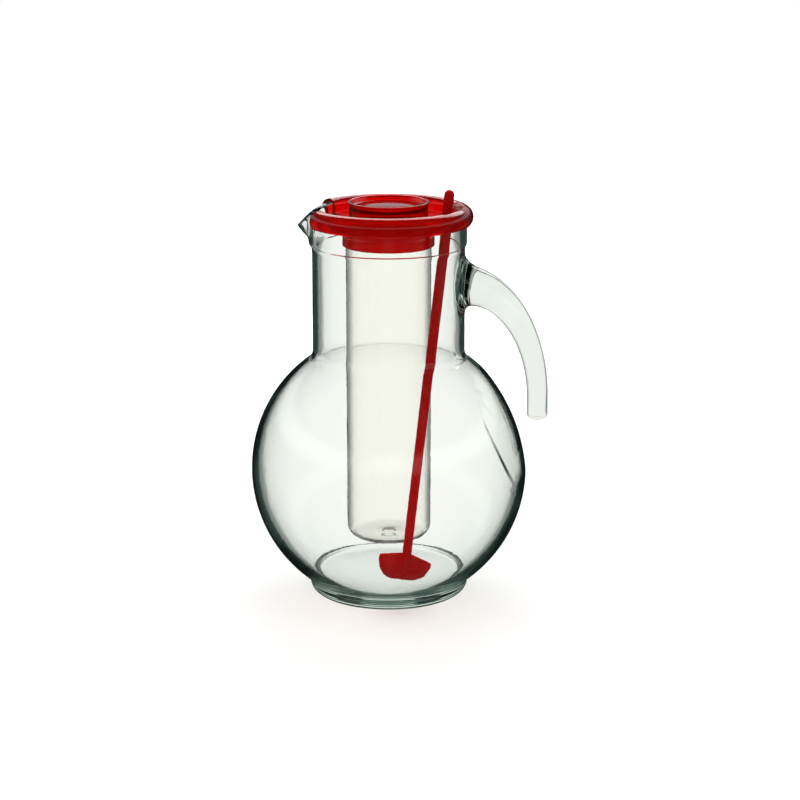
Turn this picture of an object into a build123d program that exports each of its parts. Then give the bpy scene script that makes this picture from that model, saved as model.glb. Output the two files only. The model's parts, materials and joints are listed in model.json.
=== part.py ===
from build123d import *
from math import acos, cos, degrees, radians, sin, sqrt, tan
import os

os.makedirs("parts", exist_ok=True)

# Millimetres and degrees. The jug stands on z = 0 with its axis on Z, the handle
# towards +X and the pouring lip towards -X.

# Glass jug: bowl and foot
BOWL_RADIUS = 82.5
BOWL_CENTRE_Z = 76.0
BOWL_WALL = 3.5
BOWL_RISE = 1.5
BASE_THICKNESS = 12.0
FLOOR_ROUND = 5.0
FOOT_RADIUS = 47.6
FOOT_HEIGHT = 7.5
FOOT_ROUND = 6.0
PUNT_RADIUS = 36.0
PUNT_DEPTH = 2.5

# Glass jug: neck and rim
JUG_HEIGHT = 233.0
NECK_RADIUS = 45.2
NECK_WALL = 3.2
SHOULDER_ROUND = 8.0
BAND_HEIGHT = 20.2
BAND_PROUD = 1.1
RIM_ROUND = 1.4

# Glass jug: flat for the fingers, on the bowl under the handle
FLAT_FOOT_ANGLE = -1.2
FLAT_SHOULDER_GAP = 2.8
FLAT_CROWN_SHARE = 0.778

# Glass jug: pouring lip
LIP_REACH = 54.7
LIP_DROOP = 9.6
LIP_SLOPE = 40.0
LIP_LEAN = 48.0
LIP_HALF_ANGLE = 40.0
LIP_WALL = 2.6
LIP_TIP_ROUND = 4.0

# Glass jug: drop handle
HANDLE_REACH = 89.0
HANDLE_ROOT_PLACE = 0.618
HANDLE_ROOT_SHARE = 0.401
HANDLE_TURN_Z = 121.0
HANDLE_END_Z = 109.0
HANDLE_END_THICKNESS = 12.6
HANDLE_ROOT_WIDTH = 26.0
HANDLE_END_WIDTH = 16.0
HANDLE_ROOT_ROUND = 6.0
HANDLE_END_ROUND = 3.0
HANDLE_STATIONS = 5

# Lid
LID_WALL = 1.8
LID_SEAT_GAP = 0.2
LID_SIDE_GAP = 0.5
FLANGE_TOP_WALL = 2.0
FLANGE_OVERHANG = 3.7
FLANGE_HEIGHT = 10.7
FLANGE_LIP_WALL = 1.3
CREST_ROUND = 4.5
DISH_DEPTH = 8.7
COLLAR_RADIUS = 23.2
COLLAR_RISE = 2.8
COLLAR_FLARE = 0.9
COLLAR_RECESS = 3.0
SKIRT_DEPTH = 12.4
NOTCH_HALF_ANGLE = 30.0
NOTCH_FLOOR_CUT = 3.2

# Ice tube
TUBE_RADIUS = 25.2
TUBE_WALL = 1.8
TUBE_BOTTOM_Z = 33.0
TUBE_BOTTOM_WALL = 2.6
TUBE_CORNER = 7.0
TUBE_FIT = 0.2
GATE_RADIUS = 3.0
GATE_DEPTH = 0.7

# Stirrer
ROD_RADIUS = 3.0
ROD_END_RADIUS = 2.7
ROD_TUBE_GAP = 0.95
KNOB_RISE = 10.8
HOLE_RADIUS = 4.0
HOLE_EDGE = 0.7
HOLE_ANGLE = -10.6
PADDLE_WIDTH = 32.0
PADDLE_HEIGHT = 17.0
PADDLE_SIDE_HEIGHT = 11.0
PADDLE_SHOULDER_DROP = 3.2
PADDLE_THICKNESS = 2.4
PADDLE_CORNER = 1.2
PADDLE_ANGLE = 16.0
PADDLE_OFFSET = 2.65
FLOOR_GAP = 1.3

# Levels and radii that several pieces share
BAND_RADIUS = NECK_RADIUS + BAND_PROUD
BORE_RADIUS = NECK_RADIUS - NECK_WALL
BAND_Z = JUG_HEIGHT - BAND_HEIGHT
FLANGE_CEILING_Z = JUG_HEIGHT + LID_SEAT_GAP
CREST_Z = FLANGE_CEILING_Z + FLANGE_TOP_WALL
DISH_Z = CREST_Z - DISH_DEPTH
DISH_UNDERSIDE_Z = DISH_Z - LID_WALL
PLUG_RADIUS = BORE_RADIUS - LID_SIDE_GAP
DISH_RADIUS = PLUG_RADIUS - LID_WALL
LIP_TIP_Z = JUG_HEIGHT - LIP_DROOP
HOLE_POSITION = DISH_RADIUS - HOLE_RADIUS - HOLE_EDGE

# The shoulder's round ends where the straight neck starts, and the flat and the handle follow from it
SHOULDER_ANGLE = degrees(acos((NECK_RADIUS + SHOULDER_ROUND) / (BOWL_RADIUS + SHOULDER_ROUND)))
SHOULDER_Z = BOWL_CENTRE_Z + (BOWL_RADIUS + SHOULDER_ROUND) * sin(radians(SHOULDER_ANGLE))
FLAT_TOP_ANGLE = SHOULDER_ANGLE - FLAT_SHOULDER_GAP
FLAT_TILT = (FLAT_TOP_ANGLE + FLAT_FOOT_ANGLE) / 2
FLAT_DEPTH = BOWL_RADIUS * (1 - cos(radians(FLAT_TOP_ANGLE - FLAT_FOOT_ANGLE) / 2))
FLAT_CROWN = FLAT_CROWN_SHARE * FLAT_DEPTH
HANDLE_TOP_Z = SHOULDER_Z + HANDLE_ROOT_PLACE * (BAND_Z - SHOULDER_Z)
HANDLE_ROOT_THICKNESS = HANDLE_ROOT_SHARE * (BAND_Z - SHOULDER_Z)


def turned(edges):
    """Solid of revolution about Z from edges drawn as (radius, height)."""
    return revolve(Plane.XZ * make_face(edges), Axis.Z)


def blend(ball_radius, ball_z, neck_radius, round_radius):
    """Where a round between the ball and the neck meets the ball, its middle, and where it ends."""
    reach = ball_radius + round_radius
    centre_r = neck_radius + round_radius
    rise = sqrt(reach**2 - centre_r**2)
    centre_z = ball_z + rise
    share = ball_radius / reach
    start = (centre_r * share, ball_z + rise * share)
    half = radians(180 + degrees(acos(centre_r / reach)) / 2)
    middle = (centre_r + round_radius * cos(half), centre_z + round_radius * sin(half))
    return start, middle, (neck_radius, centre_z)


def ball_radius_at(ball_radius, ball_z, z):
    """Radius of the ball's circle at a height."""
    return sqrt(ball_radius**2 - (z - ball_z) ** 2)


def flat_tool(ball_radius, ball_z, depth):
    """Round block, hollowed by a dome, that takes a crowned flat off a ball in the flat's direction."""
    outward = Vector(cos(radians(FLAT_TILT)), 0, sin(radians(FLAT_TILT)))
    level = ball_radius - depth
    flat_radius = sqrt(ball_radius**2 - level**2)
    dome_radius = (flat_radius**2 + FLAT_CROWN**2) / (2 * FLAT_CROWN)
    plane = Plane(
        origin=Vector(0, 0, ball_z) + outward * level, x_dir=(0, 1, 0), z_dir=outward
    )
    block = Cylinder(flat_radius * 1.04, 3 * depth)
    return plane * (block - Pos(0, 0, FLAT_CROWN - dome_radius) * Sphere(dome_radius))


def outer_body():
    """Foot, bowl, neck and rim band as one turned solid, with the flat for the fingers."""
    ball_foot = (ball_radius_at(BOWL_RADIUS, BOWL_CENTRE_Z, FOOT_HEIGHT), FOOT_HEIGHT)
    start, middle, end = blend(BOWL_RADIUS, BOWL_CENTRE_Z, NECK_RADIUS, SHOULDER_ROUND)
    foot = [
        Line((0, 0), (FOOT_RADIUS - FOOT_ROUND, 0)),
        TangentArc(
            (FOOT_RADIUS - FOOT_ROUND, 0), (FOOT_RADIUS, FOOT_ROUND), tangent=(1, 0)
        ),
        Polyline((FOOT_RADIUS, FOOT_ROUND), (FOOT_RADIUS, FOOT_HEIGHT), ball_foot),
    ]
    bowl = [
        ThreePointArc(ball_foot, (BOWL_RADIUS, BOWL_CENTRE_Z), start),
        ThreePointArc(start, middle, end),
    ]
    neck = [
        Polyline(
            end,
            (NECK_RADIUS, BAND_Z - BAND_PROUD),
            (BAND_RADIUS, BAND_Z),
            (BAND_RADIUS, JUG_HEIGHT - RIM_ROUND),
        ),
        TangentArc(
            (BAND_RADIUS, JUG_HEIGHT - RIM_ROUND),
            (BAND_RADIUS - RIM_ROUND, JUG_HEIGHT),
            tangent=(0, 1),
        ),
        Polyline((BAND_RADIUS - RIM_ROUND, JUG_HEIGHT), (0, JUG_HEIGHT), (0, 0)),
    ]
    return turned(foot + bowl + neck) - flat_tool(BOWL_RADIUS, BOWL_CENTRE_Z, FLAT_DEPTH)


def cavity():
    """The drink space, set higher than the outside ball so that the bowl's wall thickens downwards."""
    ball = BOWL_RADIUS - BOWL_WALL
    ball_z = BOWL_CENTRE_Z + BOWL_RISE
    shoulder = SHOULDER_ROUND + BOWL_WALL
    start, middle, end = blend(ball, ball_z, BORE_RADIUS, shoulder)
    corner = (ball_radius_at(ball, ball_z, BASE_THICKNESS), BASE_THICKNESS)
    top = JUG_HEIGHT + LIP_DROOP
    space = turned(
        [
            Line((0, BASE_THICKNESS), corner),
            ThreePointArc(corner, (ball, ball_z), start),
            ThreePointArc(start, middle, end),
            Polyline(end, (BORE_RADIUS, top), (0, top), (0, BASE_THICKNESS)),
        ]
    )
    floor_edge = space.edges().filter_by(GeomType.CIRCLE).sort_by(Axis.Z)[0]
    space = fillet(floor_edge, FLOOR_ROUND)
    return space - flat_tool(ball, ball_z, FLAT_DEPTH) + lip_wedge(LIP_WALL, top)


def lip_wedge(inset, top):
    """Leaning wedge whose edge is the pouring lip's keel, moved in by a wall, up to a height."""
    half = radians(LIP_HALF_ANGLE)
    tip_round = LIP_TIP_ROUND - inset
    keel = -LIP_REACH - LIP_TIP_ROUND * (1 / sin(half) - 1) + inset / sin(half)
    drop = (LIP_REACH - NECK_RADIUS + 2 * LIP_WALL) / tan(radians(LIP_LEAN))
    length = NECK_RADIUS * 0.9
    width = length * tan(half)
    wedge = make_face(
        Polyline((keel, 0), (keel + length, width), (keel + length, -width), close=True)
    )
    wedge = fillet(wedge.vertices().sort_by(Axis.X)[0], tip_round)
    lean = tan(radians(LIP_LEAN))
    rise = top - LIP_TIP_Z + drop
    start = Pos(drop * lean, 0, LIP_TIP_Z - drop) * wedge
    return extrude(start, amount=rise * sqrt(1 + lean**2), dir=(-lean, 0, 1))


def above_lip():
    """Block over the plane that slopes the rim down to the tip of the lip."""
    slope = radians(LIP_SLOPE)
    plane = Plane(
        origin=(-LIP_REACH, 0, LIP_TIP_Z), x_dir=(0, 1, 0), z_dir=(-sin(slope), 0, cos(slope))
    )
    size = 2 * LIP_REACH
    return plane * Box(size, size, size, align=(Align.CENTER, Align.CENTER, Align.MIN))


def handle():
    """Drop handle: ovals along a quarter ellipse from the neck, tapering to a free end."""
    across, down = HANDLE_REACH - NECK_RADIUS, HANDLE_TOP_Z - HANDLE_TURN_Z

    def oval(x, z, direction, share):
        left = (1 - share) ** 2
        width = HANDLE_END_WIDTH + (HANDLE_ROOT_WIDTH - HANDLE_END_WIDTH) * left
        thickness = HANDLE_END_THICKNESS + (HANDLE_ROOT_THICKNESS - HANDLE_END_THICKNESS) * left
        plane = Plane(origin=(x, 0, z), x_dir=(0, 1, 0), z_dir=direction)
        return plane * Ellipse(width / 2, thickness / 2)

    sections = [oval(BORE_RADIUS - NECK_WALL, HANDLE_TOP_Z, (1, 0, 0), 0)]
    for k in range(HANDLE_STATIONS + 1):
        turn = radians(90 * k / HANDLE_STATIONS)
        x = NECK_RADIUS + across * sin(turn)
        z = HANDLE_TURN_Z + down * cos(turn)
        sections.append(oval(x, z, (across * cos(turn), 0, -down * sin(turn)), k / HANDLE_STATIONS))
    tail = extrude(sections[-1], amount=HANDLE_TURN_Z - HANDLE_END_Z, dir=(0, 0, -1))
    end = tail.faces().sort_by(Axis.Z)[0]
    return loft(sections) + fillet(end.edges(), HANDLE_END_ROUND)


def make_jug():
    """The whole glass, hollowed last so that the handle and the lip open cleanly inside."""
    body = outer_body()
    grip = handle()
    joined = body + grip
    root = [e for e in joined.edges() if on_neck(e)]
    joined = fillet(root, HANDLE_ROOT_ROUND)
    joined = joined + lip_wedge(0, JUG_HEIGHT)
    punt = Cylinder(PUNT_RADIUS, PUNT_DEPTH, align=(Align.CENTER, Align.CENTER, Align.MIN))
    return joined - cavity() - above_lip() - punt


def on_neck(edge):
    """True for the edge where the handle meets the neck."""
    box = edge.bounding_box()
    return (
        box.min.Z > HANDLE_TOP_Z - HANDLE_ROOT_THICKNESS
        and box.max.Z < HANDLE_TOP_Z + HANDLE_ROOT_THICKNESS
        and box.min.X > NECK_RADIUS / 2
        and box.max.X < NECK_RADIUS + 1
    )


def make_lid():
    """Rolled flange over the rim, dish, closed collar and the skirt that takes the ice tube."""
    flange = BAND_RADIUS + FLANGE_OVERHANG
    flange_in = BAND_RADIUS + LID_SIDE_GAP
    flange_z = CREST_Z - FLANGE_HEIGHT
    crest_in = DISH_RADIUS + CREST_ROUND
    skirt_in = TUBE_RADIUS + TUBE_FIT
    skirt_out = skirt_in + LID_WALL
    skirt_z = DISH_UNDERSIDE_Z - SKIRT_DEPTH
    collar_in = COLLAR_RADIUS - LID_WALL
    collar_z = CREST_Z + COLLAR_RISE
    disc_z = collar_z - COLLAR_RECESS
    edges = [
        Polyline(
            (0, disc_z),
            (0, disc_z - LID_WALL),
            (collar_in, disc_z - LID_WALL),
            (collar_in, DISH_UNDERSIDE_Z),
            (skirt_in, DISH_UNDERSIDE_Z),
            (skirt_in, skirt_z),
            (skirt_out, skirt_z),
            (skirt_out, DISH_UNDERSIDE_Z),
            (PLUG_RADIUS, DISH_UNDERSIDE_Z),
            (PLUG_RADIUS, FLANGE_CEILING_Z),
            (flange_in, FLANGE_CEILING_Z),
            (flange_in, flange_z),
            (flange_in + FLANGE_LIP_WALL, flange_z),
        ),
        ThreePointArc(
            (flange_in + FLANGE_LIP_WALL, flange_z),
            (flange, CREST_Z - FLANGE_HEIGHT * 0.55),
            (crest_in + LID_SIDE_GAP, CREST_Z),
        ),
        Line((crest_in + LID_SIDE_GAP, CREST_Z), (crest_in, CREST_Z)),
        TangentArc((crest_in, CREST_Z), (DISH_RADIUS, CREST_Z - CREST_ROUND), tangent=(-1, 0)),
        Polyline(
            (DISH_RADIUS, CREST_Z - CREST_ROUND),
            (DISH_RADIUS, DISH_Z),
            (COLLAR_RADIUS, DISH_Z),
            (COLLAR_RADIUS, collar_z - LID_WALL),
            (COLLAR_RADIUS + COLLAR_FLARE, collar_z),
            (collar_in + COLLAR_FLARE, collar_z),
            (collar_in, disc_z),
            (0, disc_z),
        ),
    ]
    lid = turned(edges)
    hole, foot = stirrer_line()
    return lid - Pos(hole) * Cylinder(HOLE_RADIUS, 4 * LID_WALL) - notch(flange)


def notch(flange):
    """Sector cut through the flange and the edge of the dish, over the pouring lip."""
    reach = 2 * flange
    half = radians(NOTCH_HALF_ANGLE)
    side = (-reach * cos(half), reach * sin(half))
    sector = make_face(Polyline((0, 0), side, (side[0], -side[1]), close=True))
    sector = sector - Circle(DISH_RADIUS - NOTCH_FLOOR_CUT)
    bottom = DISH_UNDERSIDE_Z - LID_WALL
    return extrude(Pos(0, 0, bottom) * sector, amount=FLANGE_HEIGHT + DISH_DEPTH)


def make_tube():
    """Ice tube: open at the top, rounded at the bottom, with the dimple of its moulding gate."""
    top = DISH_UNDERSIDE_Z - LID_SEAT_GAP
    inside = TUBE_RADIUS - TUBE_WALL
    floor = TUBE_BOTTOM_Z + TUBE_BOTTOM_WALL
    corner_in = TUBE_CORNER - TUBE_WALL
    tube = turned(
        [
            Line((0, TUBE_BOTTOM_Z), (TUBE_RADIUS - TUBE_CORNER, TUBE_BOTTOM_Z)),
            TangentArc(
                (TUBE_RADIUS - TUBE_CORNER, TUBE_BOTTOM_Z),
                (TUBE_RADIUS, TUBE_BOTTOM_Z + TUBE_CORNER),
                tangent=(1, 0),
            ),
            Polyline(
                (TUBE_RADIUS, TUBE_BOTTOM_Z + TUBE_CORNER),
                (TUBE_RADIUS, top),
                (inside, top),
                (inside, floor + corner_in),
            ),
            TangentArc((inside, floor + corner_in), (inside - corner_in, floor), tangent=(0, -1)),
            Polyline((inside - corner_in, floor), (0, floor), (0, TUBE_BOTTOM_Z)),
        ]
    )
    return tube - Pos(0, 0, TUBE_BOTTOM_Z) * Cylinder(GATE_RADIUS, 2 * GATE_DEPTH)


def stirrer_line():
    """The rod's point in the dish, and its lower end beside the ice tube on the jug's floor."""
    distance = TUBE_RADIUS + ROD_RADIUS + ROD_TUBE_GAP
    foot_position = distance + PADDLE_OFFSET
    spread = degrees(acos(distance / HOLE_POSITION) + acos(distance / foot_position))
    foot_angle = radians(HOLE_ANGLE - spread)
    hole_angle = radians(HOLE_ANGLE)
    hole = Vector(HOLE_POSITION * cos(hole_angle), HOLE_POSITION * sin(hole_angle), DISH_Z)
    foot = Vector(
        foot_position * cos(foot_angle), foot_position * sin(foot_angle), BASE_THICKNESS + FLOOR_GAP
    )
    return hole, foot


def make_stirrer():
    """Tapering rod with a domed knob end, running down into a spade-shaped paddle as its rib."""
    hole, foot = stirrer_line()
    lean = (hole - foot).normalized()
    length = (CREST_Z + KNOB_RISE - foot.Z) / lean.Z
    rod = turned(
        [
            Polyline(
                (0, length),
                (0, PADDLE_THICKNESS / 2),
                (ROD_END_RADIUS, PADDLE_THICKNESS),
                (ROD_RADIUS, length - ROD_RADIUS),
            ),
            TangentArc((ROD_RADIUS, length - ROD_RADIUS), (0, length), tangent=(0, 1)),
        ]
    )
    half = PADDLE_WIDTH / 2
    shoulder = PADDLE_HEIGHT - PADDLE_SHOULDER_DROP
    blade = make_face(
        [
            ThreePointArc((-half, PADDLE_SIDE_HEIGHT), (0, 0), (half, PADDLE_SIDE_HEIGHT)),
            Polyline(
                (half, PADDLE_SIDE_HEIGHT),
                (half, shoulder),
                (ROD_END_RADIUS, PADDLE_HEIGHT),
                (-ROD_END_RADIUS, PADDLE_HEIGHT),
                (-half, shoulder),
                (-half, PADDLE_SIDE_HEIGHT),
            ),
        ]
    )
    sides = [v for v in blade.vertices() if abs(v.X) > half - PADDLE_CORNER]
    blade = Plane.XZ * fillet(sides, PADDLE_CORNER)
    paddle = extrude(blade, amount=PADDLE_THICKNESS / 2, both=True)
    across = (cos(radians(PADDLE_ANGLE)), sin(radians(PADDLE_ANGLE)), 0)
    return Plane(origin=foot, x_dir=across, z_dir=lean) * (rod + paddle)


PIECES = {
    "glass_jug": make_jug,
    "lid": make_lid,
    "ice_tube": make_tube,
    "stirrer": make_stirrer,
}

for name, make in PIECES.items():
    export_step(make(), f"parts/{name}.step")
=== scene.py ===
# %% [markdown]
# # A glass jug that keeps its drink cold
# The object is a ball-shaped jug of clear pressed glass. A red lid sits on its rim, a clear tube for ice hangs
# under the lid, and a red stirrer leans through a hole in the lid. The CAD model comes in first: it fixes every
# size and place, and each piece below is modelled again over it with the soft edges of the real one.

# %% Load the frame
import json
from math import acos, asin, atan2, cos, degrees, pi, radians, sin, sqrt

import bmesh
import bpy
from mathutils import Matrix, Vector

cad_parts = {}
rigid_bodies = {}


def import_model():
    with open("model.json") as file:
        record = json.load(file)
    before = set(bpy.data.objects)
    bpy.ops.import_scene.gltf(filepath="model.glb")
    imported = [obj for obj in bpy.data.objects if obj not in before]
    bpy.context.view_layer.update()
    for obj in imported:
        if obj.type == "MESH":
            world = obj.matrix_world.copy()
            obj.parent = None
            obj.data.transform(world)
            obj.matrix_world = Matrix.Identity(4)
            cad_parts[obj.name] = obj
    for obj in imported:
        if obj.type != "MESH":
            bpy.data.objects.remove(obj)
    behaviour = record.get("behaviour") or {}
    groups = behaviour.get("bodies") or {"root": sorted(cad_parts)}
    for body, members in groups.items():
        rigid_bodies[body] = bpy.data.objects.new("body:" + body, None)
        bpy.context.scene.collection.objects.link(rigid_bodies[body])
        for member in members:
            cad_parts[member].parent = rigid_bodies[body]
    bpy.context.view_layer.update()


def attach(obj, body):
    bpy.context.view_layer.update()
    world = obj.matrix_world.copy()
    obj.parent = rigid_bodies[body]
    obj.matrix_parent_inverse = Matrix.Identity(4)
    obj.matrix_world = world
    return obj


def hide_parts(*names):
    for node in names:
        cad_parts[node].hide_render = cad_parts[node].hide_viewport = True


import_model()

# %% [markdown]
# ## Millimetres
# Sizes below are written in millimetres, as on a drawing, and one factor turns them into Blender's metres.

MM = 0.001

# %% [markdown]
# ## The camera
# A jug photographed for a shop page is seen from a little above, with a long lens, so that its sides stay
# nearly upright. The lens, the height and the turn below were found by matching the jug's outline, and the
# camera is made first because every later step is judged through it.

# %% Place the camera
LENS = 105.75
SENSOR_WIDTH = 36.0
CAMERA_PLACE = (0.14923, -1.35547, 0.46642)
CAMERA_TILT = 75.65
CAMERA_TURN = 6.0

scene = bpy.context.scene
camera_data = bpy.data.cameras.new("shop_camera")
camera_data.lens = LENS
camera_data.sensor_width = SENSOR_WIDTH
camera = bpy.data.objects.new("shop_camera", camera_data)
camera.location = CAMERA_PLACE
camera.rotation_euler = (radians(CAMERA_TILT), 0, radians(CAMERA_TURN))
scene.collection.objects.link(camera)
scene.camera = camera
print("camera height in mm:", round(camera.location.z / MM))

# %% [markdown]
# ## Drawing a profile and turning it
# Glass jugs, lids and tubes are round, so most of this object is a profile turned about one axis. By hand that
# is a vertex extruded along the outline in edit mode and then spun. A screw modifier would do it too, but spin
# leaves a plain mesh that the lip and the handle can be pulled out of afterwards. The profile is listed as
# (radius, height) in millimetres, and helpers fill in arcs, straight runs and rounded corners.

# %% Helpers for profiles
def arc(centre, radius, start, end, count):
    """Points on an arc, from one angle to another in degrees, both ends included."""
    points = []
    for k in range(count + 1):
        angle = radians(start + (end - start) * k / count)
        points.append((centre[0] + radius * cos(angle), centre[1] + radius * sin(angle)))
    return points


def run(start, end, count):
    """Points on a straight line after its start, up to and with its end."""
    return [
        tuple(a + (b - a) * k / count for a, b in zip(start, end)) for k in range(1, count + 1)
    ]


def soft_corners(corners, count=4):
    """A line through (radius, height, corner round) points, with each corner turned in a soft curve."""
    points = []
    for k, (r, z, size) in enumerate(corners):
        here = Vector((r, z))
        if size == 0 or k in (0, len(corners) - 1):
            points.append(tuple(here))
            continue
        before = Vector(corners[k - 1][:2]) - here
        after = Vector(corners[k + 1][:2]) - here
        start = here + before.normalized() * size
        end = here + after.normalized() * size
        for step in range(count + 1):
            t = step / count
            points.append(tuple(start * (1 - t) ** 2 + here * 2 * t * (1 - t) + end * t**2))
    return points


print("a line of two steps:", run((0, 0), (2, 2), 2))

# %% Helpers for drawing and turning
MERGE_DISTANCE = 0.004


def begin(name):
    """A new mesh in edit mode with a single vertex at the origin."""
    bpy.ops.object.select_all(action="DESELECT")
    bpy.ops.mesh.primitive_plane_add(size=MM, enter_editmode=True)
    piece = bpy.context.active_object
    piece.name = piece.data.name = name
    bpy.ops.mesh.merge(type="CENTER")
    return piece


def draw(points):
    """Extrudes the selected vertex along a profile."""
    r, z = points[0]
    bpy.ops.transform.translate(value=(r * MM, 0, z * MM))
    for (r, z), (next_r, next_z) in zip(points, points[1:]):
        step = ((next_r - r) * MM, 0, (next_z - z) * MM)
        bpy.ops.mesh.extrude_region_move(TRANSFORM_OT_translate={"value": step})


def turn(steps):
    """Spins all that was drawn round the upright axis and closes the seam."""
    bpy.ops.mesh.select_all(action="SELECT")
    bpy.ops.mesh.spin(steps=steps, angle=2 * pi, center=(0, 0, 0), axis=(0, 0, 1))
    tidy_faces()


def choose(piece, kind, test):
    """Selects only those faces or edges of a piece that pass a test."""
    bpy.ops.mesh.select_mode(type=kind)
    bpy.ops.mesh.select_all(action="DESELECT")
    mesh = bmesh.from_edit_mesh(piece.data)
    for element in mesh.faces if kind == "FACE" else mesh.edges:
        if test(element):
            element.select_set(True)
    bmesh.update_edit_mesh(piece.data)


def tidy_faces():
    """Merges doubled vertices and turns every face outwards."""
    bpy.ops.mesh.select_all(action="SELECT")
    bpy.ops.mesh.remove_doubles(threshold=MERGE_DISTANCE * MM)
    bpy.ops.mesh.normals_make_consistent(inside=False)


def leave(piece, angle=30):
    """Goes back to object mode with smooth shading that keeps real edges sharp."""
    bpy.ops.object.mode_set(mode="OBJECT")
    bpy.ops.object.shade_smooth_by_angle(angle=radians(angle))
    print(piece.name, "has", len(piece.data.polygons), "faces")


print("vertices closer than", MERGE_DISTANCE, "mm are merged")

# %% [markdown]
# ## The jug's outer skin
# The outside is a low foot with a hollow under it, a ball, a small round into a straight neck, and a slightly
# wider band at the rim. The hollow is drawn as a very shallow bowl: a deep one would act as a lens and put a
# second ring into the base. The outer and the inner skin are made as two meshes and welded at the rim, because
# the flat and the handle change each of them in a different way.

# %% Measure the glass
BOWL_RADIUS, BOWL_CENTRE_Z, BOWL_WALL, BOWL_RISE = 82.5, 76.0, 3.5, 1.5
BASE_THICKNESS, FLOOR_ROUND = 12.0, 5.0
FOOT_RADIUS, FOOT_ROUND, FOOT_TOP, GROOVE_TOP = 47.6, 6.0, 8.0, 9.0
PUNT_RADIUS, PUNT_DEPTH = 38.0, 0.6
JUG_HEIGHT, NECK_RADIUS, NECK_WALL, SHOULDER_ROUND = 233.0, 45.2, 3.2, 8.0
BAND_Z, BAND_RADIUS, RIM_ROUND, RIM_INNER_ROUND = 212.8, 46.3, 1.4, 1.8
BORE_RADIUS = NECK_RADIUS - NECK_WALL
RIM_MIDDLE = (BAND_RADIUS + BORE_RADIUS) / 2


def shoulder(ball, ball_z, neck, size):
    """Angle up the ball where the shoulder's round starts, and the round's centre."""
    angle = acos((neck + size) / (ball + size))
    return degrees(angle), (neck + size, ball_z + (ball + size) * sin(angle))


shoulder_angle, shoulder_centre = shoulder(BOWL_RADIUS, BOWL_CENTRE_Z, NECK_RADIUS, SHOULDER_ROUND)
groove_angle = degrees(asin((GROOVE_TOP - BOWL_CENTRE_Z) / BOWL_RADIUS))
print("the ball runs from", round(groove_angle), "to", round(shoulder_angle), "degrees")

# %% Draw and turn the outer skin
BAND_EASE, BAND_START = ((0.2, 0.75), (0.9, 0.1)), 1.1
GLASS_STEPS, BALL_STEPS, ROUND_STEPS, RIM_STEPS = 128, 44, 10, 5
FOOT_ROWS, NECK_ROWS, BAND_ROWS = 2, 28, 8
shares = [k / ROUND_STEPS for k in range(ROUND_STEPS + 1)]
outer = [(PUNT_RADIUS * share, PUNT_DEPTH * (1 - share**2)) for share in shares]
outer += run((PUNT_RADIUS, 0), (FOOT_RADIUS - FOOT_ROUND, 0), FOOT_ROWS)
outer += arc((FOOT_RADIUS - FOOT_ROUND, FOOT_ROUND), FOOT_ROUND, -90, 0, ROUND_STEPS)[1:]
outer += [(FOOT_RADIUS, FOOT_TOP)]
outer += arc((0, BOWL_CENTRE_Z), BOWL_RADIUS, groove_angle, shoulder_angle, BALL_STEPS)
outer += arc(shoulder_centre, SHOULDER_ROUND, 180 + shoulder_angle, 180, ROUND_STEPS)[1:]
outer += run((NECK_RADIUS, shoulder_centre[1]), (NECK_RADIUS, BAND_Z - BAND_START), NECK_ROWS)
outer += [(NECK_RADIUS + out, BAND_Z - below) for out, below in BAND_EASE]
outer += run((BAND_RADIUS, BAND_Z), (BAND_RADIUS, JUG_HEIGHT - RIM_ROUND), BAND_ROWS)
outer += arc((BAND_RADIUS - RIM_ROUND, JUG_HEIGHT - RIM_ROUND), RIM_ROUND, 0, 90, RIM_STEPS)[1:]
outer += [(RIM_MIDDLE, JUG_HEIGHT)]

jug = begin("jug_of_glass")
draw(outer)
turn(GLASS_STEPS)
print("outer skin:", len(bmesh.from_edit_mesh(jug.data).verts), "vertices before the handle")

# %% [markdown]
# ## The flat for the fingers
# Under the handle the ball is pressed a little flatter, which leaves room for the fingers. The patch is not
# quite plane: it bulges like a wider ball. By hand one would select the cap and scale it down towards the
# middle. Here that cap is subdivided first, so that its edge can be drawn finely, and each vertex that stands
# out past the wider ball is moved in onto it. A smooth minimum instead of a hard one softens the edge. The
# helper can also press less deeply and leave a fine step along the edge, which the inner skin needs later.

# %% Measure the flat
FLAT_FOOT_ANGLE, FLAT_SHOULDER_GAP = -1.2, 2.8
FLAT_CROWN_SHARE, FLAT_SOFTNESS = 0.778, 0.3
flat_top_angle = shoulder_angle - FLAT_SHOULDER_GAP
flat_tilt = radians(flat_top_angle + FLAT_FOOT_ANGLE) / 2
flat_half = radians(flat_top_angle - FLAT_FOOT_ANGLE) / 2
flat_depth = BOWL_RADIUS * (1 - cos(flat_half))
flat_normal = Vector((cos(flat_tilt), 0, sin(flat_tilt)))
flat_up = Vector((-sin(flat_tilt), 0, cos(flat_tilt)))
print("the flat is cut", round(flat_depth, 1), "mm deep and faces", round(degrees(flat_tilt)), "degrees up")

# %% Press the flat
CAP_MARGIN, SKIN_SLACK, CAP_CUTS = 8, 0.4, 4
STEP_WIDTH, STEP_STRETCH, STEP_SPREAD = 2.4, 1.3, 1.12
STEP_LOW, STEP_LOW_SOFT, STEP_HIGH, STEP_HIGH_FALL = 0.6, 0.3, 0.6, 0.7


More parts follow.
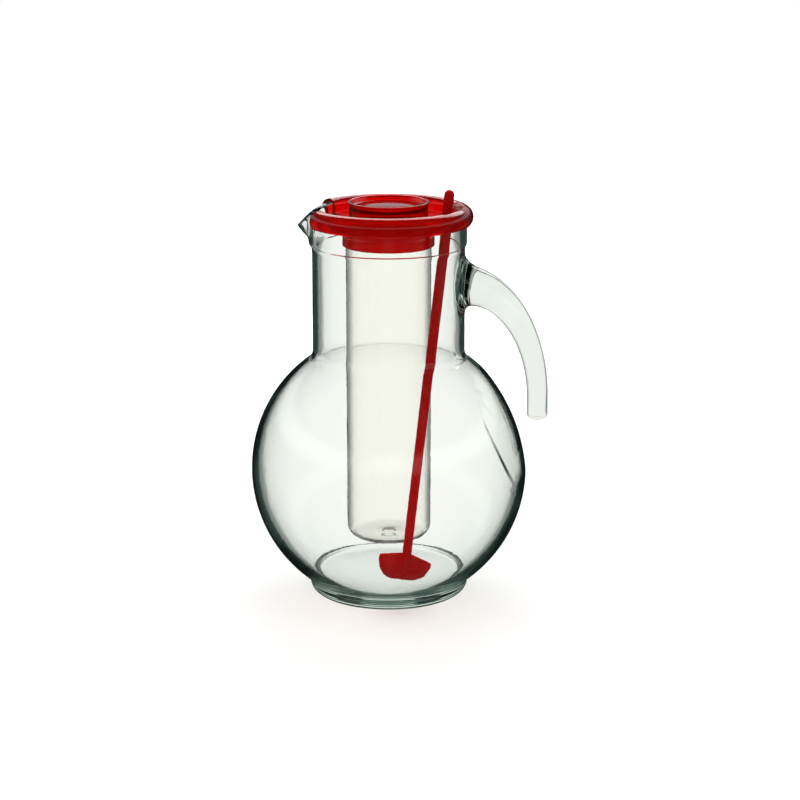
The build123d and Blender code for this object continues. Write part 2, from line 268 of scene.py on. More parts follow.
def press_flat(piece, ball, ball_z, step, slack):
    """Refines the cap of a ball under the handle and moves it in onto a wider ball."""
    middle = Vector((0, 0, ball_z))
    level = ball - flat_depth
    edge = sqrt(ball**2 - level**2)
    crown = FLAT_CROWN_SHARE * flat_depth
    dome = (edge**2 + crown**2) / (2 * crown)
    dome_middle = middle + flat_normal * (level + crown - dome)

    def on_cap(place):
        out = place / MM - middle
        return abs(out.length - ball) < SKIN_SLACK and out.dot(flat_normal) > level - CAP_MARGIN

    bpy.ops.mesh.select_all(action="DESELECT")
    mesh = bmesh.from_edit_mesh(piece.data)
    for face in mesh.faces:
        if all(on_cap(vertex.co) for vertex in face.verts):
            face.select_set(True)
    bmesh.update_edit_mesh(piece.data)
    bpy.ops.mesh.subdivide(number_cuts=CAP_CUTS)
    mesh = bmesh.from_edit_mesh(piece.data)
    moved = 0
    for vertex in mesh.verts:
        if not on_cap(vertex.co):
            continue
        out = middle + (vertex.co / MM - middle).normalized() * ball - dome_middle
        near = max(FLAT_SOFTNESS - abs(out.length - dome), 0) / FLAT_SOFTNESS
        reach = min(out.length, dome) - near**2 * FLAT_SOFTNESS / 4
        reach += (out.length - reach) * slack
        up = out.dot(flat_up)
        up /= STEP_STRETCH if up < 0 else 1
        inside = min(max((edge - sqrt(up**2 + (out.y / STEP_SPREAD) ** 2)) / STEP_WIDTH, 0), 1)
        low_end = min(max(0.5 + (up / edge + STEP_LOW) / STEP_LOW_SOFT, 0), 1)
        high_end = min(max(STEP_HIGH - STEP_HIGH_FALL * up / edge, 0), 1)
        reach -= step * low_end * high_end * inside**2 * (3 - 2 * inside)
        vertex.co = (dome_middle + out.normalized() * reach) * MM
        moved += 1
    bmesh.update_edit_mesh(piece.data)
    print("flat pressed with", moved, "vertices")


press_flat(jug, BOWL_RADIUS, BOWL_CENTRE_Z, 0, 0)

# %% [markdown]
# ## The drop handle
# The handle is a rod of glass stuck to the neck while hot: thick and wide where it meets the neck, thinner
# towards its free end. A separate rod pushed into the neck would leave a hidden wall inside the glass that
# bends light, so the handle is grown out of the skin. A patch of the neck is opened and the edge of the opening
# is set on an oval. The oval reaches further down than up, because the hot glass sags on the neck.

# %% Open the neck for the handle
HANDLE_REACH, HANDLE_TOP_Z, HANDLE_TURN_Z, HANDLE_END_Z = 89.0, 188.5, 121.0, 109.0
HANDLE_ROOT_WIDTH, HANDLE_ROOT_THICKNESS, HANDLE_ROOT_ROUND = 26.0, 25.5, 6.0
HANDLE_END_WIDTH, HANDLE_END_THICKNESS, HANDLE_END_ROUND = 16.0, 12.6, 3.0
ROOT_HALF_WIDTH = HANDLE_ROOT_WIDTH / 2 + HANDLE_ROOT_ROUND
ROOT_HALF_HEIGHT = HANDLE_ROOT_THICKNESS / 2 + HANDLE_ROOT_ROUND
ROOT_DROP, ROOT_PULL, ROOT_DROP_PULL = 1.5, 0.55, 1.4


def on_neck(angle, grow):
    """Point on the neck, at an angle round the handle's root oval made larger or smaller."""
    y = (HANDLE_ROOT_WIDTH / 2 + grow) * cos(angle)
    z = (HANDLE_ROOT_THICKNESS / 2 + grow) * sin(angle) * (ROOT_DROP if sin(angle) < 0 else 1)
    return Vector((sqrt(NECK_RADIUS**2 - y**2), y, HANDLE_TOP_Z + z)) * MM


def root_up(z):
    """Height in the root oval, from -1 at its low end to 1 at its high end."""
    up = (z - HANDLE_TOP_Z) / ROOT_HALF_HEIGHT
    return up / ROOT_DROP if up < 0 else up


def in_root(face):
    """Whether a face of the neck lies inside the root oval."""
    middle = face.calc_center_median() / MM
    return middle.x > 0 and (middle.y / ROOT_HALF_WIDTH) ** 2 + root_up(middle.z) ** 2 < 1


choose(jug, "FACE", in_root)
bpy.ops.mesh.delete(type="FACE")
choose(jug, "EDGE", lambda edge: edge.is_boundary and all(v.co.z / MM < BAND_Z for v in edge.verts))
skin = bmesh.from_edit_mesh(jug.data)
around = skin.verts.layers.float.new("around")
root_ring = [vertex for vertex in skin.verts if vertex.select]
for vertex in root_ring:
    vertex[around] = atan2(root_up(vertex.co.z / MM), vertex.co.y / MM / ROOT_HALF_WIDTH)
    vertex.co = on_neck(vertex[around], HANDLE_ROOT_ROUND)
bmesh.update_edit_mesh(jug.data)
print("the handle grows from a ring of", len(root_ring), "vertices")

# %% [markdown]
# ## Growing the handle
# The open edge is extruded ring by ring: first through the soft root, then along a quarter of an ellipse, then
# straight down to the rounded end. A bevel modifier could round the root too, but it would bite into the thin
# wall of the neck. Each vertex remembers its angle round the oval in an attribute, so a ring keeps its order.

# %% Helpers for the handle's rings
ROOT_SHARE, SHARE_STEP = 0.085, 0.02
across, down = HANDLE_REACH - NECK_RADIUS, HANDLE_TOP_Z - HANDLE_TURN_Z


def taper(root, end, share):
    """A size that falls along the bend, quickly near the root."""
    return end + (root - end) * (1 - share) ** 2


def on_handle(angle, share, drop=0.0, shrink=0.0):
    """Point on the handle's skin: share runs along the bend, drop down the straight tail."""
    bend = radians(90 * share)
    half_width = taper(HANDLE_ROOT_WIDTH, HANDLE_END_WIDTH, share) / 2 - shrink
    half_thick = taper(HANDLE_ROOT_THICKNESS, HANDLE_END_THICKNESS, share) / 2 - shrink
    centre = Vector((NECK_RADIUS + across * sin(bend), 0, HANDLE_TURN_Z + down * cos(bend) - drop))
    outward = Vector((down * sin(bend), 0, across * cos(bend))).normalized()
    side = Vector((0, 1, 0))
    return (centre + side * half_width * cos(angle) + outward * half_thick * sin(angle)) * MM


def root_curve(angle, t):
    """Soft root between the neck and the handle, as a curve with its ends along both skins."""
    pull = ROOT_PULL * HANDLE_ROOT_ROUND * (ROOT_DROP_PULL if sin(angle) < 0 else 1)
    start, end = on_neck(angle, HANDLE_ROOT_ROUND), on_handle(angle, ROOT_SHARE)
    leave_neck = on_neck(angle, HANDLE_ROOT_ROUND - pull)
    along = end - on_handle(angle, ROOT_SHARE + SHARE_STEP)
    meet_handle = end + along.normalized() * pull * MM
    weights = ((1 - t) ** 3, 3 * t * (1 - t) ** 2, 3 * t**2 * (1 - t), t**3)
    points = (start, leave_neck, meet_handle, end)
    return sum((p * w for p, w in zip(points, weights)), Vector())


def next_ring(place):
    """Extrudes the selected ring and moves each new vertex to its place round the handle."""
    bpy.ops.mesh.extrude_region_move()
    mesh = bmesh.from_edit_mesh(jug.data)
    layer = mesh.verts.layers.float["around"]
    for vertex in mesh.verts:
        if vertex.select:
            vertex.co = place(vertex[layer])
    bmesh.update_edit_mesh(jug.data)


print("the handle reaches", round(across, 1), "mm out and", round(down, 1), "mm down")

# %% Grow the handle ring by ring
ROOT_RINGS, BEND_RINGS, TAIL_RINGS, END_RINGS = 8, 30, 3, 6
for k in range(1, ROOT_RINGS + 1):
    next_ring(lambda angle: root_curve(angle, k / ROOT_RINGS))
for k in range(1, BEND_RINGS + 1):
    next_ring(lambda angle: on_handle(angle, ROOT_SHARE + (1 - ROOT_SHARE) * k / BEND_RINGS))
tail = HANDLE_TURN_Z - HANDLE_END_Z
for k in range(1, TAIL_RINGS + 1):
    next_ring(lambda angle: on_handle(angle, 1, (tail - HANDLE_END_ROUND) * k / TAIL_RINGS))
for k in range(1, END_RINGS + 1):
    lean = radians(90 * k / END_RINGS)
    lower = tail - HANDLE_END_ROUND * (1 - sin(lean))
    next_ring(lambda angle: on_handle(angle, 1, lower, HANDLE_END_ROUND * (1 - cos(lean))))
bpy.ops.mesh.edge_face_add()
bpy.ops.mesh.select_mode(type="VERT")
bpy.ops.object.mode_set(mode="OBJECT")
jug.data.attributes.remove(jug.data.attributes["around"])
print("handle grown:", len(jug.data.vertices), "vertices in the outer skin")

# %% [markdown]
# ## The inner skin
# Inside, the wall follows the outside at the thickness of the glass, down to a flat floor with a rounded edge.
# The base is much thicker than the wall, which is why the foot of such a jug looks so rich in lines. The inner
# skin gets the flat too, but only half as deep and with a fine step along its edge: the wall is thinner there,
# and the step shows through the glass as a dark crescent. Then the skins are joined and welded along the rim.

# %% Draw, turn and weld the inner skin
STEP_DEPTH, INNER_SLACK, BORE_SPLIT = 0.5, 0.5, 8
RIM_ROWS, BORE_ROWS, FLOOR_STEPS, FLOOR_ROWS = 10, 8, 6, 8
inner_ball, inner_z = BOWL_RADIUS - BOWL_WALL, BOWL_CENTRE_Z + BOWL_RISE
inner_angle, inner_centre = shoulder(inner_ball, inner_z, BORE_RADIUS, SHOULDER_ROUND + BOWL_WALL)
floor_reach = inner_ball - FLOOR_ROUND
floor_angle = -degrees(asin((inner_z - BASE_THICKNESS - FLOOR_ROUND) / floor_reach))
floor_centre = (floor_reach * cos(radians(floor_angle)), BASE_THICKNESS + FLOOR_ROUND)
rim_centre = (BORE_RADIUS + RIM_INNER_ROUND, JUG_HEIGHT - RIM_INNER_ROUND)
bore_top = (BORE_RADIUS, rim_centre[1])
bore_middle = (BORE_RADIUS, BAND_Z - BORE_SPLIT)
inner = [(RIM_MIDDLE, JUG_HEIGHT)]
inner += arc(rim_centre, RIM_INNER_ROUND, 90, 180, RIM_STEPS)
inner += run(bore_top, bore_middle, RIM_ROWS)
inner += run(bore_middle, (BORE_RADIUS, inner_centre[1]), BORE_ROWS)
inner += arc(inner_centre, SHOULDER_ROUND + BOWL_WALL, 180, 180 + inner_angle, ROUND_STEPS)[1:]
inner += arc((0, inner_z), inner_ball, inner_angle, floor_angle, BALL_STEPS)[1:]
inner += arc(floor_centre, FLOOR_ROUND, floor_angle, -90, FLOOR_STEPS)[1:]
inner += run((floor_centre[0], BASE_THICKNESS), (0, BASE_THICKNESS), FLOOR_ROWS)

lining = begin("jug_lining")
draw(inner)
turn(GLASS_STEPS)
press_flat(lining, inner_ball, inner_z, STEP_DEPTH, INNER_SLACK)
bpy.ops.object.mode_set(mode="OBJECT")
jug.select_set(True)
bpy.context.view_layer.objects.active = jug
bpy.ops.object.join()
bpy.ops.object.mode_set(mode="EDIT")
tidy_faces()

# %% [markdown]
# ## The pouring lip
# The lip is made by hand on the real glass too: a tool pulls the soft rim out and down at one place. The same
# move exists in edit mode, a proportional drag: a few vertices at the rim are moved to where the tip should be,
# and their neighbours follow less and less. A wide stroke leans the rim out and a narrow one pinches the beak.
# Their linear falloff keeps the beak's sides straight, and a light smoothing rounds its edge.

# %% Pull out the lip
LIP_REACH, LIP_DROOP, LIP_PINCH, LIP_SLACK = 54.7, 9.6, 1.6, 0.1
STROKES = ((0.4, 24.0), (0.6, 12.0))
rim = bmesh.from_edit_mesh(jug.data)
bpy.ops.mesh.select_all(action="DESELECT")
for vertex in rim.verts:
    at_tip = vertex.co.x < 0 and abs(vertex.co.y) / MM < LIP_PINCH
    vertex.select_set(at_tip and vertex.co.z / MM > JUG_HEIGHT - RIM_INNER_ROUND - LIP_SLACK)
rim.select_flush_mode()
bmesh.update_edit_mesh(jug.data)
for share, spread in STROKES:
    bpy.ops.transform.translate(
        value=(share * (BAND_RADIUS - LIP_REACH) * MM, 0, -share * LIP_DROOP * MM),
        use_proportional_edit=True,
        proportional_edit_falloff="LINEAR",
        proportional_size=spread * MM,
    )
bpy.ops.mesh.select_more()
bpy.ops.mesh.select_more()
bpy.ops.mesh.vertices_smooth(factor=0.5, repeat=2)
leave(jug, 40)
beak = min(vertex.co.x for vertex in jug.data.vertices if vertex.co.z / MM > BAND_Z)
print("tip of the lip in mm:", round(beak / MM, 1))

# %% [markdown]
# ## The lid
# The lid is one moulding of see-through red plastic. A thick rolled flange covers the rim, inside it a wall
# drops to a shallow dish, a low collar in the middle is the finger grip, and a short skirt under the dish holds
# the ice tube. It is a closed profile again, this time with rounded corners, as a mould would leave them.

# %% Measure the lid
LID_WALL, LID_SEAT_GAP, LID_SIDE_GAP = 1.8, 0.2, 0.5
FLANGE_TOP_WALL, FLANGE_OVERHANG, FLANGE_HEIGHT, FLANGE_LIP_WALL = 2.0, 3.7, 10.7, 1.3
CREST_ROUND, DISH_DEPTH, FLANGE_WIDEST = 4.5, 8.7, 0.55
COLLAR_RADIUS, COLLAR_RISE, COLLAR_FLARE, COLLAR_RECESS = 23.2, 2.8, 0.9, 3.0
SKIRT_DEPTH, TUBE_RADIUS, TUBE_FIT = 12.4, 25.2, 0.2
NOTCH_HALF_ANGLE, NOTCH_FLOOR_CUT = 30.0, 3.2

ceiling_z = JUG_HEIGHT + LID_SEAT_GAP
crest_z = ceiling_z + FLANGE_TOP_WALL
dish_z = crest_z - DISH_DEPTH
underside_z = dish_z - LID_WALL
plug_radius = BORE_RADIUS - LID_SIDE_GAP
dish_radius = plug_radius - LID_WALL
notch_radius = dish_radius - NOTCH_FLOOR_CUT
skirt_in = TUBE_RADIUS + TUBE_FIT
skirt_out = skirt_in + LID_WALL
skirt_z = underside_z - SKIRT_DEPTH
collar_in = COLLAR_RADIUS - LID_WALL
collar_z = crest_z + COLLAR_RISE
disc_z = collar_z - COLLAR_RECESS
flange_in = BAND_RADIUS + LID_SIDE_GAP
flange_z = crest_z - FLANGE_HEIGHT
flange_foot = (flange_in + FLANGE_LIP_WALL, flange_z)
flange_side = (BAND_RADIUS + FLANGE_OVERHANG, crest_z - FLANGE_HEIGHT * FLANGE_WIDEST)
crest_out = (dish_radius + CREST_ROUND + LID_SIDE_GAP, crest_z)
print("the lid's crest is at", round(crest_z, 1), "mm and its skirt ends at", round(skirt_z, 1), "mm")

# %% Draw and turn the lid
LID_STEPS, FLANGE_STEPS, CREST_STEPS = 96, 16, 10


def arc_through(start, middle, end, count):
    """Points on the arc through three points, both ends included."""
    (ax, ay), (bx, by), (cx, cy) = start, middle, end
    turn_of = 2 * (ax * (by - cy) + bx * (cy - ay) + cx * (ay - by))
    squares = [x * x + y * y for x, y in (start, middle, end)]
    x = (squares[0] * (by - cy) + squares[1] * (cy - ay) + squares[2] * (ay - by)) / turn_of
    y = (squares[0] * (cx - bx) + squares[1] * (ax - cx) + squares[2] * (bx - ax)) / turn_of
    angles = [degrees(atan2(p[1] - y, p[0] - x)) for p in (start, middle, end)]
    while angles[2] < angles[0]:
        angles[2] += 360
    return arc((x, y), sqrt((ax - x) ** 2 + (ay - y) ** 2), angles[0], angles[2], count)


lid_line = soft_corners([
    (0, disc_z - LID_WALL, 0),
    (collar_in, disc_z - LID_WALL, 0.8),
    (collar_in, underside_z, 0.5),
    (skirt_in, underside_z, 0.5),
    (skirt_in, skirt_z, 0.5),
    (skirt_out, skirt_z, 0.6),
    (skirt_out, underside_z, 0.8),
    (notch_radius, underside_z, 0),
    (plug_radius, underside_z, 0.8),
    (plug_radius, ceiling_z, 0.4),
    (flange_in, ceiling_z, 0.4),
    (flange_in, flange_z, 0.5),
    (*flange_foot, 0),
])
lid_line += arc_through(flange_foot, flange_side, crest_out, FLANGE_STEPS)[1:]
lid_line += arc((dish_radius + CREST_ROUND, crest_z - CREST_ROUND), CREST_ROUND, 90, 180, CREST_STEPS)
lid_line += soft_corners([
    (dish_radius, crest_z - CREST_ROUND, 0),
    (dish_radius, dish_z, 1.2),
    (notch_radius, dish_z, 0),
    (COLLAR_RADIUS, dish_z, 1.2),
    (COLLAR_RADIUS, collar_z - LID_WALL, 0.8),
    (COLLAR_RADIUS + COLLAR_FLARE, collar_z, 0.6),
    (collar_in + COLLAR_FLARE, collar_z, 0.6),
    (collar_in, disc_z, 1.0),
    (0, disc_z, 0),
])[1:]

lid = begin("lid_of_red_plastic")
draw(lid_line)
turn(LID_STEPS)
print("lid turned from", len(lid_line), "points")

# %% [markdown]
# ## The lid's pouring notch
# Over the lip the flange and the edge of the dish are left open. The spin has a column of faces at each end of
# the notch and a ring of vertices at its inner edge, so no boolean is needed: the faces of the notch are
# deleted, the step at the dish is bridged, and the two cut ends are filled.

# %% Cut the notch
RING_SLACK = 0.01


def in_notch(face):
    """Whether a face of the lid lies over the lip."""
    middle = face.calc_center_median() / MM
    off_lip = abs(degrees(atan2(middle.y, -middle.x)))
    return middle.xy.length > notch_radius and off_lip < NOTCH_HALF_ANGLE


def on_ring(vertex):
    """Whether a vertex lies on the notch's inner edge."""
    return abs(vertex.co.xy.length / MM - notch_radius) < RING_SLACK


choose(lid, "FACE", in_notch)
bpy.ops.mesh.delete(type="FACE")
choose(lid, "EDGE", lambda edge: edge.is_boundary and all(on_ring(v) for v in edge.verts))
bpy.ops.mesh.bridge_edge_loops()
for side in (1, -1):
    choose(lid, "EDGE", lambda edge: edge.is_boundary and all(v.co.y * side > 0 for v in edge.verts))
    bpy.ops.mesh.edge_face_add()
bpy.ops.mesh.select_mode(type="VERT")
tidy_faces()
bpy.ops.object.mode_set(mode="OBJECT")
print("notch cut over", 2 * NOTCH_HALF_ANGLE, "degrees")

# %% [markdown]
# ## The stirrer's hole
# The stirrer goes through a round hole in the dish, close to its wall. A boolean with a plain cylinder is the
# shortest way to a clean hole in a closed moulding.

# %% Bore the hole
HOLE_RADIUS, HOLE_EDGE, HOLE_ANGLE, HOLE_STEPS = 4.0, 0.7, radians(-10.6), 48
hole_position = dish_radius - HOLE_RADIUS - HOLE_EDGE
hole = Vector((hole_position * cos(HOLE_ANGLE), hole_position * sin(HOLE_ANGLE), dish_z))


def combine(piece, other, operation):
    """Changes a piece by a boolean with another mesh, which is then removed."""
    change = piece.modifiers.new("combine", "BOOLEAN")
    change.operation = operation
    change.object = other
    change.solver = "EXACT"
    bpy.context.view_layer.objects.active = piece
    bpy.ops.object.modifier_apply(modifier=change.name)
    bpy.data.objects.remove(other)
    bpy.ops.object.select_all(action="DESELECT")
    piece.select_set(True)


bpy.ops.object.select_all(action="DESELECT")
bpy.ops.mesh.primitive_cylinder_add(
    vertices=HOLE_STEPS, radius=HOLE_RADIUS * MM, depth=4 * LID_WALL * MM, location=hole * MM
)
drill = bpy.context.active_object
bpy.ops.object.transform_apply(location=True)
combine(lid, drill, "DIFFERENCE")
leave(lid)

# %% [markdown]
# ## The ice tube
# A clear plastic tube, open at the top and rounded at the bottom, pushed into the lid's skirt. The small dimple
# under its bottom is where the plastic entered the mould. One closed profile makes the whole tube.

# %% Draw and turn the ice tube
TUBE_WALL, TUBE_BOTTOM_Z, TUBE_BOTTOM_WALL, TUBE_CORNER = 1.8, 33.0, 2.6, 7.0
GATE_RADIUS, GATE_SLOPE, GATE_DEPTH, INNER_CORNER_SHARE = 3.9, 0.3, 1.0, 0.45
TUBE_STEPS, TUBE_ROWS, CORNER_STEPS, INNER_CORNER_STEPS, TUBE_FLOOR_ROWS = 96, 12, 12, 10, 4
tube_top = underside_z - LID_SEAT_GAP
tube_rim = tube_top - 1
tube_in = TUBE_RADIUS - TUBE_WALL
tube_floor = TUBE_BOTTOM_Z + TUBE_BOTTOM_WALL
corner_in = INNER_CORNER_SHARE * TUBE_CORNER
tube_line = soft_corners([
    (0, TUBE_BOTTOM_Z + GATE_DEPTH, 0),
    (GATE_RADIUS, TUBE_BOTTOM_Z + GATE_DEPTH, 0.5),
    (GATE_RADIUS + GATE_SLOPE, TUBE_BOTTOM_Z, 0.3),
    (TUBE_RADIUS - TUBE_CORNER, TUBE_BOTTOM_Z, 0),
])
corner_centre = (TUBE_RADIUS - TUBE_CORNER, TUBE_BOTTOM_Z + TUBE_CORNER)
tube_line += arc(corner_centre, TUBE_CORNER, -90, 0, CORNER_STEPS)[1:]
tube_line += run(tube_line[-1], (TUBE_RADIUS, tube_rim), TUBE_ROWS)
tube_line += soft_corners([
    (TUBE_RADIUS, tube_rim, 0),
    (TUBE_RADIUS, tube_top, 0.8),
    (tube_in, tube_top, 0.8),
    (tube_in, tube_rim, 0),
])[1:]
tube_line += run(tube_line[-1], (tube_in, tube_floor + corner_in), TUBE_ROWS)
corner_centre = (tube_in - corner_in, tube_floor + corner_in)
tube_line += arc(corner_centre, corner_in, 0, -90, INNER_CORNER_STEPS)[1:]
tube_line += run(tube_line[-1], (0, tube_floor), TUBE_FLOOR_ROWS)

tube = begin("tube_for_ice")
draw(tube_line)
turn(TUBE_STEPS)
leave(tube, 35)

# %% [markdown]
# ## The stirrer
# One red moulding: a thin rod with a domed top, tapering down into a spade-shaped paddle that it stiffens as a
# rib. Where the rod stands follows from its neighbours: it passes the ice tube with a small gap on its way from
# the hole to the floor. It is turned from a profile like the other round pieces, upright at first.

# %% Make the rod
ROD_RADIUS, ROD_END_RADIUS, ROD_TUBE_GAP, KNOB_RISE = 3.0, 2.7, 0.95, 10.8
ROD_CHAMFER, ROD_STEP, ROD_ROWS, ROD_STEPS, KNOB_STEPS = 0.8, 0.4, 24, 32, 8
PADDLE_THICKNESS, PADDLE_OFFSET, FLOOR_GAP = 2.4, 2.65, 1.3

rod_distance = TUBE_RADIUS + ROD_RADIUS + ROD_TUBE_GAP
foot_position = rod_distance + PADDLE_OFFSET
spread = acos(rod_distance / hole_position) + acos(rod_distance / foot_position)
foot_angle = HOLE_ANGLE - spread
foot = Vector(
    (foot_position * cos(foot_angle), foot_position * sin(foot_angle), BASE_THICKNESS + FLOOR_GAP)
)
lean = (hole - foot).normalized()
rod_length = (crest_z + KNOB_RISE - foot.z) / lean.z

knob_z = rod_length - ROD_RADIUS
rod_line = [(0, PADDLE_THICKNESS / 2), (ROD_END_RADIUS - ROD_CHAMFER, PADDLE_THICKNESS - ROD_STEP)]
rod_line += run((ROD_END_RADIUS, PADDLE_THICKNESS + ROD_STEP), (ROD_RADIUS, knob_z), ROD_ROWS)
rod_line += arc((0, knob_z), ROD_RADIUS, 0, 90, KNOB_STEPS)[1:]
stirrer = begin("stirrer_of_red_plastic")
draw(rod_line)
turn(ROD_STEPS)
bpy.ops.object.mode_set(mode="OBJECT")
print("the rod is", round(rod_length, 1), "mm long")

# %% [markdown]
# ## The paddle
# The paddle is a flat spade with rounded corners, a few degrees askew on its rod. Its outline is drawn, filled,
# extruded to its thickness and bevelled by a modifier, which keeps the rounding even on a curved outline. A
# boolean welds it to the rod, and the whole stirrer is then leaned to its line.

# %% Make the paddle
PADDLE_WIDTH, PADDLE_HEIGHT, PADDLE_SIDE_HEIGHT = 32.0, 17.0, 11.0
PADDLE_SHOULDER_DROP, PADDLE_CORNER, PADDLE_EDGE, PADDLE_TURN = 3.2, 1.2, 0.8, radians(7)
half = PADDLE_WIDTH / 2
shoulder_z = PADDLE_HEIGHT - PADDLE_SHOULDER_DROP
outline = soft_corners([
    (-half, PADDLE_SIDE_HEIGHT, 0),
    (1.6 - half, 5.4, 2.4),
    (-0.55 * half, 0.3, 3.6),
    (0.55 * half, 1.6, 3.6),
    (half - 1.6, 5.9, 2.4),
    (half, PADDLE_SIDE_HEIGHT, 1.0),
    (half, shoulder_z, PADDLE_CORNER),
    (ROD_END_RADIUS, PADDLE_HEIGHT, 0.8),
    (-ROD_END_RADIUS, PADDLE_HEIGHT, 0.8),
    (-half, shoulder_z, PADDLE_CORNER),
    (-half, PADDLE_SIDE_HEIGHT, 0),
])[:-1]
turn_x, turn_z = sin(PADDLE_TURN), cos(PADDLE_TURN)
from_top = [(x, z - PADDLE_HEIGHT) for x, z in outline]
outline = [(x * turn_z + z * turn_x, PADDLE_HEIGHT - x * turn_x + z * turn_z) for x, z in from_top]
paddle = begin("paddle")
draw(outline)
bpy.ops.mesh.select_all(action="SELECT")
bpy.ops.mesh.edge_face_add()
bpy.ops.transform.translate(value=(0, -PADDLE_THICKNESS / 2 * MM, 0))
bpy.ops.mesh.extrude_region_move(TRANSFORM_OT_translate={"value": (0, PADDLE_THICKNESS * MM, 0)})
tidy_faces()
bpy.ops.object.mode_set(mode="OBJECT")
rounding = paddle.modifiers.new("moulded_edge", "BEVEL")
rounding.width = PADDLE_EDGE * MM
rounding.segments = 3
rounding.limit_method = "ANGLE"
rounding.angle_limit = radians(50)
bpy.ops.object.modifier_apply(modifier=rounding.name)
print("paddle has", len(paddle.data.polygons), "faces")

# %% Weld the paddle to the rod and lean the stirrer
PADDLE_ANGLE = radians(16)
combine(stirrer, paddle, "UNION")
across_blade = Vector((cos(PADDLE_ANGLE), sin(PADDLE_ANGLE), 0))
across_blade = (across_blade - lean * across_blade.dot(lean)).normalized()
blade_normal = lean.cross(across_blade)
stirrer.matrix_world = Matrix.LocRotScale(
    foot * MM, Matrix((across_blade, blade_normal, lean)).transposed().to_quaternion(), None
)
bpy.ops.object.transform_apply(location=True, rotation=True, scale=True)
leave(stirrer, 35)
print("stirrer foot in mm:", [round(c, 1) for c in foot])

# %% [markdown]
# ## Seat the pieces on the frame
# Every piece now lies in the CAD model's own frame. Each one stands for its CAD node, which is hidden, and
# rides on that node's body.

# %% Ride and replace
SEATS = (
    (jug, "jug", "glass_jug", "clear_glass"),
    (lid, "lid", "lid", "red_lid"),
    (tube, "tube", "ice_tube", "clear_tube"),
    (stirrer, "stirrer", "stirrer", "red_stirrer"),
)
for piece, body, node, slot in SEATS:
    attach(piece, body)
    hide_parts(node)
    print(piece.name, "rides on", body)

# %% [markdown]
# ## A shared ripple for moulded surfaces
# Pressed glass and moulded plastic are never quite flat: light running over them wavers. One node group makes
# that ripple as a height and a faint haze as a mask, and each material takes it at its own scale.

# %% Build the ripple group
ripple = bpy.data.node_groups.new("moulded_ripple", "ShaderNodeTree")
FINE_SHARE = 0.08
ripple.interface.new_socket("Vector", in_out="INPUT", socket_type="NodeSocketVector")
for name in ("Scale", "Fine Scale"):
    ripple.interface.new_socket(name, in_out="INPUT", socket_type="NodeSocketFloat")
for name in ("Height", "Haze"):
    ripple.interface.new_socket(name, in_out="OUTPUT", socket_type="NodeSocketFloat")
group_in = ripple.nodes.new("NodeGroupInput")
group_out = ripple.nodes.new("NodeGroupOutput")
broad = ripple.nodes.new("ShaderNodeTexNoise")
broad.inputs["Detail"].default_value = 1.0
fine = ripple.nodes.new("ShaderNodeTexNoise")
fine.inputs["Detail"].default_value = 3.0
both = ripple.nodes.new("ShaderNodeMath")
both.operation = "MULTIPLY_ADD"
both.inputs[1].default_value = FINE_SHARE
for start, end in (
    (group_in.outputs["Vector"], broad.inputs["Vector"]),
    (group_in.outputs["Vector"], fine.inputs["Vector"]),
    (group_in.outputs["Scale"], broad.inputs["Scale"]),
    (group_in.outputs["Fine Scale"], fine.inputs["Scale"]),
    (fine.outputs["Fac"], both.inputs[0]),
    (broad.outputs["Fac"], both.inputs[2]),
    (both.outputs["Value"], group_out.inputs["Height"]),
    (fine.outputs["Fac"], group_out.inputs["Haze"]),
):
    ripple.links.new(start, end)
print("ripple group has", len(ripple.nodes), "nodes")

# %% Helpers for rippled materials
FINE_RATIO = 9


def fill(node, values):
    """Puts constants on a node's sockets."""
    for name, value in values.items():
        node.inputs[name].default_value = value


def moulded(name, scale, fine_scale, wave, depth, haze):
    """A material with the ripple as bump and as roughness, its shader and its ripple node."""
    material = bpy.data.materials.new(name)
    material.use_nodes = True
    nodes, links = material.node_tree.nodes, material.node_tree.links
    shader = nodes["Principled BSDF"]
    place = nodes.new("ShaderNodeTexCoord")
    wavy = nodes.new("ShaderNodeGroup")
    wavy.node_tree = ripple
    fill(wavy, {"Scale": scale, "Fine Scale": fine_scale})
    links.new(place.outputs["Object"], wavy.inputs["Vector"])
    bump = nodes.new("ShaderNodeBump")
    fill(bump, {"Strength": wave, "Distance": depth * MM})
    links.new(wavy.outputs["Height"], bump.inputs["Height"])
    links.new(bump.outputs["Normal"], shader.inputs["Normal"])
    rough = nodes.new("ShaderNodeMapRange")
    fill(rough, {"To Min": haze[0], "To Max": haze[1]})
    links.new(wavy.outputs["Haze"], rough.inputs["Value"])
    links.new(rough.outputs["Result"], shader.inputs["Roughness"])
    print("made", name)
    return material, shader, wavy


def dress(piece, material):
    """Gives a piece this one material."""
    piece.data.materials.clear()
    piece.data.materials.append(material)


print("glass takes its fine ripple at", FINE_RATIO, "times the broad one")

# %% [markdown]
# ## See-through materials
# Glass, clear plastic and red plastic differ in tint, index and ripple, but their node trees are the same: a
# Principled shader that transmits, a volume that takes colour out of long paths, and a transparent shader that
# only shadow rays meet, so that lamps still reach what stands inside the glass.

